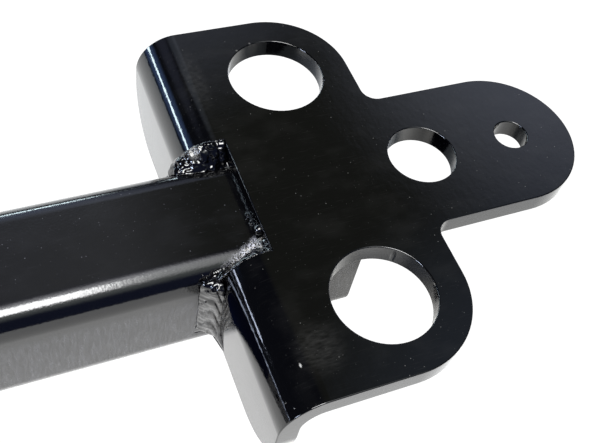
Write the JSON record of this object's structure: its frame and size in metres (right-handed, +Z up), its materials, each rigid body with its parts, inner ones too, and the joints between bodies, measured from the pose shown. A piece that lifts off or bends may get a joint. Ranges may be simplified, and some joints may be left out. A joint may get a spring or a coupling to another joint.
{
  "type": "two-way receiver hitch",
  "caption": "Welded receiver hitch: a square shank tube carries a bent plate with a tow-ball hole, a clevis-pin hole and holes for safety chains.",
  "frame": {"origin": "centre of the hitch-pin hole, on the shank tube's axis", "axes": "+X along the tube towards the tongue, +Y along the hitch-pin hole to the carrying vehicle's right, +Z up"},
  "size_m": [0.3458, 0.1674, 0.0593],
  "materials": {
    "tube_paint": "gloss black paint on steel tube",
    "plate_paint": "gloss black paint on steel plate",
    "weld_paint": "gloss black paint over weld beads"
  },
  "bodies": {
    "root": {"shank_tube": "tube_paint", "hitch_plate": "plate_paint", "left_side_weld": "weld_paint", "right_side_weld": "weld_paint", "left_notch_weld": "weld_paint", "right_notch_weld": "weld_paint", "top_weld": "weld_paint"}
  },
  "joints": []
}
